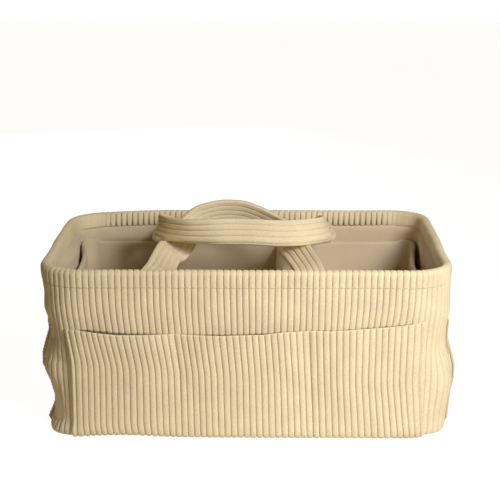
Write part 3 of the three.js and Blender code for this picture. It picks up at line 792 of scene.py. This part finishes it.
BACK_PATH = [
    [-74, 12, -11, 0], [-75, 22, -10.5, 0], [-80, 44, -8, 10], [-87, 62, -4.5, 30], [-91.5, 77, -1, 56],
    [-93.5, 89, 1.8, 78], [-88, 99, 3.6, 95], [-76, 113, 5.4, 99], [-60.5, 125, 7, 102], [-47, 130, 8, 100],
    [-35, 133, 8.8, 82], [-14, 134.5, 9.6, 72], [33, 138.4, 9.1, 68], [50, 136, 8.6, 68], [63, 130.5, 8, 68],
    [74.5, 120, 6.8, 71], [81.5, 110, 5.2, 75], [85, 98, 3.4, 72], [85, 84, 0.5, 54], [82, 66, -4, 27],
    [78.5, 42, -8, 8], [75, 22, -10.5, 0], [74, 12, -11, 0],
]
# A tail from its lower end: inwards from the hinge line and up from it
TAIL_PATH = [[-2.6, -49], [-2.4, -38], [-1.6, -30], [-0.4, -23], [0.8, -18], [3, -14], [7, -11.5]]
STRAP_WALES = 5


class CADDY_OT_straps(bpy.types.Operator):
    """Two corduroy strap handles, each one piece from its sewn tails out past the hem and round the grip"""

    bl_idname = "caddy.straps"
    bl_label = "Strap handles"

    def execute(self, context):
        sizes = context.scene.caddy_sizes
        placed = [joint for joint in FRAME["joints"] if "pos_m" in joint]
        joints = {joint["child"]: np.array(joint["pos_m"]) / MM for joint in placed}
        for name, path, side in (("front", FRONT_PATH, -1), ("back", BACK_PATH, 1)):
            hinge = joints[f"{name}_handle"]
            strap = self.strap(f"{name}_strap", hinge, path, side, sizes, finishes(context)["corduroy"])
            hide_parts(f"{name}_handle", f"{name}_left_strap_tail", f"{name}_right_strap_tail")
            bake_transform(strap)
        return {"FINISHED"}

    def strap(self, name, hinge, path, side, sizes, material):
        """A ribbed strap along its path, turning on edge towards the grip."""
        left = [[path[0][0], inward, up, 0] for inward, up in TAIL_PATH]
        right = [[path[-1][0], inward, up, 0] for inward, up in reversed(TAIL_PATH)]
        marks = np.array(left + path + right)
        corners = marks[:, :3] * [1, -side, 1] + hinge
        points, length, mark_length = smooth_path(corners, 320)
        level_across, level_lift = strap_frame(points, side)
        turned = np.interp(length, mark_length, marks[:, 3])
        turned = np.convolve(np.pad(turned, 10, mode="edge"), np.ones(21) / 21, mode="valid")
        angle = np.radians(side * turned)[:, None]
        across = level_across * np.cos(angle) + level_lift * np.sin(angle)
        lift = level_lift * np.cos(angle) - level_across * np.sin(angle)
        width = sizes.strap_width / MM
        places = (np.arange(STRAP_WALES)[:, None] + 0.5 + WALE_STEPS / 2) / STRAP_WALES
        offset = np.concatenate([places.ravel(), [1.0]]) - 0.5
        crest = np.concatenate([np.tile(WALE_HEIGHTS, STRAP_WALES), [0]])
        from_wall = np.minimum(length, length[-1] - length) - mark_length[len(TAIL_PATH)]
        thick = np.interp(from_wall, [-45, 0, 16], [3.4, 3.8, sizes.strap_thickness / MM])
        # The front strap's arch is stretched, which flattens its ridges
        crest = 1 - (1 - crest) * (1 - 0.5 * eased(from_wall, 70, 110)[:, None] * (side < 0))
        half_thick = thick[:, None] / 2 - 1.2 * (1 - crest)
        half_thick[:, [0, -1]] *= 0.5
        # Round the back grip the outer ridge is rolled under, which leaves four of the five in sight
        rolled = eased(from_wall, 70, 112)[:, None] * (side > 0)
        bend = np.radians(105) * np.clip((-0.27 - offset) * width / 3, 0, 1) * rolled
        step = np.diff(offset * width)
        middle_bend = (bend[:, 1:] + bend[:, :-1]) / 2
        run = np.concatenate([0 * rolled, np.cumsum(step * np.cos(middle_bend), 1)], 1)
        rise = np.concatenate([0 * rolled, np.cumsum(step * np.sin(middle_bend), 1)], 1)
        run = run - run[:, -1:] + width / 2 - 2 * rolled
        rise = rise - rise[:, -1:]
        wander = 0.25 * unevenness(points, 60, 31)[:, None]
        across, lift = across[:, None], lift[:, None]
        outward = lift * np.cos(bend)[..., None] - across * np.sin(bend)[..., None]
        face = outward * half_thick[..., None]
        spine = points[:, None] + across * (run + wander)[..., None] + lift * rise[..., None]
        grid = np.concatenate([spine - face, (spine + face)[:, ::-1]], 1)
        wale = np.concatenate([crest, crest[:, ::-1]], 1)
        piece = cloth_piece(name, grid, [material], wale, False, True)
        return piece


# Linings and base


class CADDY_OT_linings(bpy.types.Operator):
    """Cotton lining of the wall and of the base"""

    bl_idname = "caddy.linings"
    bl_label = "Linings"

    def execute(self, context):
        cotton = finishes(context)["cotton"]
        levels = [*np.linspace(LINING_BOTTOM + 1.2, 100, 8), *np.linspace(108, LINING_TOP - 6, 22)]
        levels += [LINING_TOP - 3, LINING_TOP]
        inside = [[-7.0, level] for level in reversed(levels)]
        section = np.array(inside + [[-6.3, level] for level in levels])
        along = np.linspace(0, GIRTH, 420, endpoint=False)
        grid = swept(section[:, :1], section[:, 1:], along, 1.0, 0, 0, still, lining_folds)
        lining = cloth_piece("wall_lining", grid, [cotton], None, True, True)
        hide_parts("front_lining", "right_lining", "back_lining", "left_lining")
        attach(lining, "tote")
        inset = 7.4
        x = base_half(inset)[0] * np.sin(np.linspace(-1, 1, 60) * math.pi / 2)
        low, high = base_sheet(x, inset, 40, 7.3, 8.0)
        high[..., 2] += 0.15 * unevenness(high, 60, 3)
        floor = cloth_piece("floor_lining", np.concatenate([low, high[::-1]]), [cotton], None, True, False)
        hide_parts("base_lining")
        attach(floor, "tote")
        return {"FINISHED"}


def still(along, height):
    """No slide."""
    return np.zeros(np.broadcast_shapes(np.shape(along), np.shape(height)))


def lining_folds(along, height):
    """Slack in the lining, which hangs inwards a little below the hem."""
    spot = wall_points(along, 0, height)
    slack = eased(height, LINING_BOTTOM + 6, 40) * eased(height, HEIGHT - 15.6, HEIGHT - 18.6)
    ends = np.minimum(0.5 * wall_softness(along, height), 0)
    folds = 1.3 * unevenness(spot * [1, 1, 0.6], 42, 17) - 1.3
    # Close under the hem the lining stands as far in as the hem does, but for a slit at the back left
    x, y = spot[..., 0], spot[..., 1]
    slit = eased(x, -168, -156) * eased(x, -98, -110) * eased(y, 60, 100)
    full = -1.6 * eased(height, 132, 152) * (1 - slit) - 2.2 * slit * hump(height, 143, 6)
    # At the ends it hangs in towards the insert
    hangs = np.where(x < 0, -10, -4.5) * eased(np.abs(x), 176, 190) * hump(y, 12, 48)
    return (ends + folds + full + hangs * eased(height, 60, 125)) * slack


def base_half(inset):
    """Half the length and half the depth of the base's outline and its corner's radius, less an inset."""
    half_length = (RIM_LENGTH / 2 - inset) * BASE_SHARE_X
    half_depth = (RIM_DEPTH / 2 - inset) * BASE_SHARE_Y
    return half_length, half_depth, CORNER_RADIUS - inset


def base_sheet(x, inset, rows, bottom, top):
    """Lower and upper points of a level sheet within the base's outline, with columns at x."""
    half_length, half_depth, corner = base_half(inset)
    beyond = np.clip(np.abs(x) - (half_length - corner), 0, corner)
    reach = half_depth - corner + np.sqrt(np.maximum(corner**2 - beyond**2, 0))
    y = np.linspace(-1, 1, rows)[:, None] * reach
    return [np.stack(np.broadcast_arrays(x, y, height), -1) for height in (bottom, top)]


class CADDY_OT_base(bpy.types.Operator):
    """Corduroy base cloth, its wales running from front to back, inside the curled foot of the wall"""

    bl_idname = "caddy.base"
    bl_label = "Base cloth"

    def execute(self, context):
        inset, rows = 9.2, 14
        half_length = base_half(inset)[0]
        x, crest = wale_columns(-half_length, half_length)
        x = np.concatenate([[-half_length], x, [half_length]])
        crest = np.concatenate([[0.5], crest, [0.5]])
        pressed = context.scene.caddy_sizes.wale_depth / MM * (1 - crest)
        low, high = base_sheet(x, inset, rows, 0.1 + pressed, 2.4)
        wale = np.repeat([crest, np.ones(len(crest))], rows, axis=0)
        grid = np.concatenate([low, high[::-1]])
        cloth = cloth_piece("base_cloth", grid, [finishes(context)["corduroy"]], wale, True, False)
        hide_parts("base_outer_panel")
        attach(cloth, "tote")
        return {"FINISHED"}


# Loose insert


def rounded_box(half_length, half_depth, radius, columns):
    """Points and outward normals round a rounded rectangle, with a count of columns on each straight side."""
    turns = np.linspace(0, math.pi / 2, 14)
    arcs = []
    for number, (side_x, side_y) in enumerate(((1, -1), (1, 1), (-1, 1), (-1, -1))):
        angle = turns + (number - 1) * math.pi / 2
        normal = np.stack([np.cos(angle), np.sin(angle)], -1)
        centre = np.array([side_x * (half_length - radius), side_y * (half_depth - radius)])
        arcs.append((centre + radius * normal, normal))
    points, normals = [], []
    for (arc, normal), (after, _) in zip(arcs, arcs[1:] + arcs[:1]):
        share = np.linspace(0, 1, columns + 2)[1:-1, None]
        points += [arc, arc[-1] + (after[0] - arc[-1]) * share]
        normals += [normal, np.broadcast_to(normal[-1], (columns, 2))]
    return np.concatenate(points), np.concatenate(normals)


class CADDY_OT_insert(bpy.types.Operator):
    """Loose insert: cotton sleeves over stiff panels, joined by soft folded corners"""

    bl_idname = "caddy.insert"
    bl_label = "Insert"

    def execute(self, context):
        half_depth = RIM_DEPTH / 2 - 16.7
        point, normal = rounded_box(RIM_LENGTH / 2 - 12.5, half_depth, 20, 70)
        # A corner is bare cloth, thinner than the stiffened panels and standing a little higher
        at_corner = np.clip(np.minimum(np.abs(normal[:, 0]), np.abs(normal[:, 1])) * 3.2, 0, 1)
        half = 2.7 - 1.8 * at_corner
        top = INSERT_TOP + 2.5 * at_corner
        up = np.concatenate([np.linspace(0, 0.9, 14), np.linspace(0.93, 1, 6)])[:, None]
        level = INSERT_BOTTOM + (top - half - INSERT_BOTTOM) * up
        turn = np.linspace(0, math.pi, 9)[1:-1, None]
        flat = np.broadcast_to(half, level.shape)
        off = np.concatenate([flat, half * np.cos(turn), -flat])
        height = np.concatenate([level, level[-1] + half * np.sin(turn), level[::-1]])
        # The end panels bow inwards between their corners
        across = np.cos(np.clip(point[:, 1] / half_depth, -1, 1) * math.pi / 2)
        bow = 11 * np.abs(normal[:, 0]) ** 8 * across**1.2
        spot = np.stack(np.broadcast_arrays(point[:, 0], point[:, 1], height), -1)
        soft = unevenness(spot, 55, 23) * (0.15 + 0.8 * eased(np.abs(normal[:, 0]), 0.1, 0.9))
        off = off - bow * (0.35 + 0.65 * eased(height, INSERT_BOTTOM, 110)) + soft
        x, y = lean_in(point[:, 0] + normal[:, 0] * off, point[:, 1] + normal[:, 1] * off, height)
        grid = np.stack([x, y, height], -1)
        insert = cloth_piece("insert_sleeves", grid, [finishes(context)["cotton"]], None, True, True)
        covers = [f"insert_{side}_cover" for side in ("front", "right", "back", "left")]
        corners = [f"insert_{side}_{end}_corner" for side, end in (
            ("front", "right"), ("back", "right"), ("back", "left"), ("front", "left"))]
        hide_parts(*covers, *corners, "insert_left_board", "insert_right_board")
        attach(insert, "insert")
        return {"FINISHED"}


class CADDY_OT_dividers(bpy.types.Operator):
    """Two cross dividers: cotton sleeves closed over a stiff board"""

    bl_idname = "caddy.dividers"
    bl_label = "Dividers"

    def execute(self, context):
        cotton = finishes(context)["cotton"]
        for side in ("left", "right"):
            low, high = node_box(f"{side}_divider_cover")
            middle, half = (low + high) / 2, (high - low) / 2
            y = np.linspace(-1, 1, 60) * half[1]
            up = np.concatenate([np.linspace(0, 0.92, 14), [0.95, 0.975, 1]])[:, None]
            edge = np.sqrt(1 - np.clip((np.abs(y) - half[1] + 3) / 3, 0, 1) ** 2)
            # The front end is fuller, where the sleeve is folded over the tape
            thick = half[0] * (0.35 + 0.65 * edge) * (1 + 0.5 * eased(y, 50, -60))
            level = low[2] + (2 * half[2] - thick) * up
            turn = np.linspace(0, math.pi, 9)[1:-1, None]
            spot = np.stack(np.broadcast_arrays(0 * y + middle[0], y, level), -1)
            sway = 0.9 * unevenness(spot, 70, len(side))
            sway = (sway - (3 if side == "right" else 0)) * eased(up, 0.3, 1)
            right = middle[0] + thick + sway
            left = middle[0] - thick + sway
            x = np.concatenate([right, middle[0] + sway[-1] + thick * np.cos(turn), left[::-1]])
            z = np.concatenate([level, level[-1] + thick * np.sin(turn), level[::-1]])
            grid = np.stack([x, np.broadcast_to(y + middle[1], x.shape), z], -1)
            sleeve = cloth_piece(f"{side}_divider_sleeve", grid, [cotton], None, True, False)
            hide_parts(f"{side}_divider_cover", f"{side}_divider_board")
            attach(sleeve, f"{side}_divider")
        return {"FINISHED"}


class CADDY_OT_fittings(bpy.types.Operator):
    """Finishes of the boards and the hook-and-loop tapes, which stay as the CAD made them"""

    bl_idname = "caddy.fittings"
    bl_label = "Boards and tapes"

    def execute(self, context):
        made = finishes(context)
        kinds = {"base_board": "board", "_board": "felt", "loop_strip": "loop_tape", "hook_tab": "hook_tape"}
        for name, node in FRAME["nodes"].items():
            # The first ending that fits tells what the node is made of
            kind = next((kinds[ending] for ending in kinds if name.endswith(ending)), None)
            if kind:
                node.data.materials.clear()
                node.data.materials.append(made[kind])
        return {"FINISHED"}


# Stage

# Where the camera stands, in metres, its turn downwards and to the left, in radians, its sensor's width in
# millimetres, and its focal length as a share of the picture's width
CAMERA_PLACE = (0.01781, -1.31812, 0.52609)
CAMERA_DOWN = 0.2713
CAMERA_LEFT = 0.0113
SENSOR_WIDTH = 36
FOCAL_SHARE = 1304 / 500


class CADDY_OT_stage(bpy.types.Operator):
    """Pale floor, soft studio light and the camera"""

    bl_idname = "caddy.stage"
    bl_label = "Stage"

    def execute(self, context):
        scene = context.scene
        scene.view_settings.view_transform = "Standard"
        self.world(scene)
        self.floor()
        power = scene.caddy_sizes.key_power
        self.lamp("key_light", (0.58, -0.9, 0.74), (0.13, -0.13, 0.15), 0.36, power, 62)
        self.lamp("back_light", (-0.35, 1.5, 0.42), (0, 0.1, 0.08), 0.8, power * 1.3, 110)
        camera = bpy.data.cameras.new("camera")
        camera.sensor_width = SENSOR_WIDTH
        camera.lens = SENSOR_WIDTH * FOCAL_SHARE
        camera.clip_end = 20
        holder = bpy.data.objects.new("camera", camera)
        holder.location = CAMERA_PLACE
        holder.rotation_euler = (math.pi / 2 - CAMERA_DOWN, 0, CAMERA_LEFT)
        scene.collection.objects.link(holder)
        scene.camera = holder
        return {"FINISHED"}

    def world(self, scene):
        """Soft even light all round, seen as plain white."""
        world = bpy.data.worlds.new("studio")
        scene.world = world
        world.use_nodes = True
        tree = world.node_tree
        tree.nodes.clear()
        path = add_node(tree, "ShaderNodeLightPath")
        seen = add_node(tree, "ShaderNodeMath", {"operation": "MAXIMUM"}, {},
                        {0: path.outputs["Is Camera Ray"], 1: path.outputs["Is Glossy Ray"]})
        through = add_node(tree, "ShaderNodeMath", {"operation": "MAXIMUM"}, {},
                           {0: seen.outputs["Value"], 1: path.outputs["Is Transmission Ray"]})
        ambient = add_node(tree, "ShaderNodeBackground", {}, {"Color": linear("#FFD890"), "Strength": 0.15})
        white = add_node(tree, "ShaderNodeBackground", {}, {"Color": (1, 1, 1, 1), "Strength": 1.0})
        mixed = add_node(tree, "ShaderNodeMixShader", {}, {},
                         {0: through.outputs["Value"], 1: ambient.outputs["Background"],
                          2: white.outputs["Background"]})
        add_node(tree, "ShaderNodeOutputWorld", {}, {}, {"Surface": mixed.outputs["Shader"]})

    def floor(self):
        """A wide pale floor that fades into the white behind it and keeps the caddy's shadow."""
        bpy.ops.object.select_all(action="DESELECT")
        bpy.ops.mesh.primitive_grid_add(x_subdivisions=4, y_subdivisions=4, size=8, location=(0, 0, -0.0006))
        floor = bpy.context.object
        floor.name = "floor"
        material, tree = new_material("pale_floor")
        path = add_node(tree, "ShaderNodeLightPath")
        paint = add_node(tree, "ShaderNodeBsdfDiffuse", {}, {"Color": linear("#F4F2EE")})
        glow = add_node(tree, "ShaderNodeEmission", {}, {"Color": (1, 1, 1, 1), "Strength": 1.35})
        share = add_node(tree, "ShaderNodeMath", {"operation": "MULTIPLY"}, {1: 0.7},
                         {0: path.outputs["Is Camera Ray"]})
        mixed = add_node(tree, "ShaderNodeMixShader", {}, {},
                         {0: share.outputs["Value"], 1: paint.outputs["BSDF"], 2: glow.outputs["Emission"]})
        add_node(tree, "ShaderNodeOutputMaterial", {}, {}, {"Surface": mixed.outputs["Shader"]})
        floor.data.materials.append(material)

    def lamp(self, name, place, aim, size, power, spread):
        """A square soft lamp turned towards a point; spread is the angle in degrees that it lights."""
        light = bpy.data.lights.new(name, "AREA")
        light.size = size
        light.energy = power
        light.spread = math.radians(spread)
        light.color = linear("#FFFDF8")[:3]
        holder = bpy.data.objects.new(name, light)
        holder.location = place
        toward = Vector(aim) - Vector(place)
        holder.rotation_euler = toward.to_track_quat("-Z", "Y").to_euler()
        bpy.context.scene.collection.objects.link(holder)


# Settings and panel


def length_setting(name, description, default, low, high):
    """A length that may be changed, given in millimetres."""
    return bpy.props.FloatProperty(name=name, description=description, default=default * MM, min=low * MM,
                                   max=high * MM, unit="LENGTH", precision=4)


def colour_setting(name, description, code):
    """A colour that may be changed, given as an sRGB hex code."""
    return bpy.props.FloatVectorProperty(name=name, description=description, default=linear(code), size=4,
                                         subtype="COLOR")


class CaddySizes(bpy.types.PropertyGroup):
    """Sizes of the cloth that may be changed, and the main lamp's power"""

    wale_depth: length_setting("Wale depth", "Height of a ridge above the valley beside it", 1.9, 0.2, 3)
    pocket_depth: length_setting("Pocket depth", "How far a full pocket stands off the wall", 6.5, 0, 20)
    strap_width: length_setting("Strap width", "Width of the handle straps", 30, 15, 60)
    strap_thickness: length_setting("Strap thickness", "Thickness of a strap over its ridges", 4.6, 2, 10)
    key_power: bpy.props.FloatProperty(
        name="Key light", description="Power of the main lamp", default=1.7, min=0, subtype="POWER",
        unit="POWER")


class CaddyColours(bpy.types.PropertyGroup):
    """Colours of the cloth"""

    crest: colour_setting("Corduroy", "Pile on top of the ridges", "#EDDFC1")
    valley: colour_setting("Valleys", "Ground weave between the ridges", "#E5D7B6")
    cotton: colour_setting("Cotton", "Lining and insert", "#DDCCB2")
    thread: colour_setting("Thread", "Sewing thread", "#EADBB8")


class CADDY_PT_pieces(bpy.types.Panel):
    """The caddy's settings and pieces"""

    bl_idname = "CADDY_PT_pieces"
    bl_label = "Diaper caddy"
    bl_space_type = "VIEW_3D"
    bl_region_type = "UI"
    bl_category = "Caddy"

    def draw(self, context):
        layout = self.layout
        for group in (context.scene.caddy_sizes, context.scene.caddy_colours):
            for key in group.__annotations__:
                layout.prop(group, key)
        for operator in OPERATORS:
            layout.operator(operator.bl_idname)


OPERATORS = (
    CADDY_OT_outer_walls,
    CADDY_OT_rim,
    CADDY_OT_pockets,
    CADDY_OT_stitches,
    CADDY_OT_linings,
    CADDY_OT_base,
    CADDY_OT_straps,
    CADDY_OT_insert,
    CADDY_OT_dividers,
    CADDY_OT_fittings,
    CADDY_OT_stage,
)
CLASSES = (CaddySizes, CaddyColours, *OPERATORS, CADDY_PT_pieces)


def register():
    for item in CLASSES:
        bpy.utils.register_class(item)
    bpy.types.Scene.caddy_sizes = bpy.props.PointerProperty(type=CaddySizes)
    bpy.types.Scene.caddy_colours = bpy.props.PointerProperty(type=CaddyColours)


def unregister():
    del bpy.types.Scene.caddy_colours
    del bpy.types.Scene.caddy_sizes
    for item in reversed(CLASSES):
        bpy.utils.unregister_class(item)


def main():
    """Builds every piece."""
    register()
    bpy.ops.caddy.outer_walls()
    bpy.ops.caddy.rim()
    bpy.ops.caddy.pockets()
    bpy.ops.caddy.stitches()
    bpy.ops.caddy.linings()
    bpy.ops.caddy.base()
    bpy.ops.caddy.straps()
    bpy.ops.caddy.insert()
    bpy.ops.caddy.dividers()
    bpy.ops.caddy.fittings()
    bpy.ops.caddy.stage()


if __name__ == "__main__":
    main()
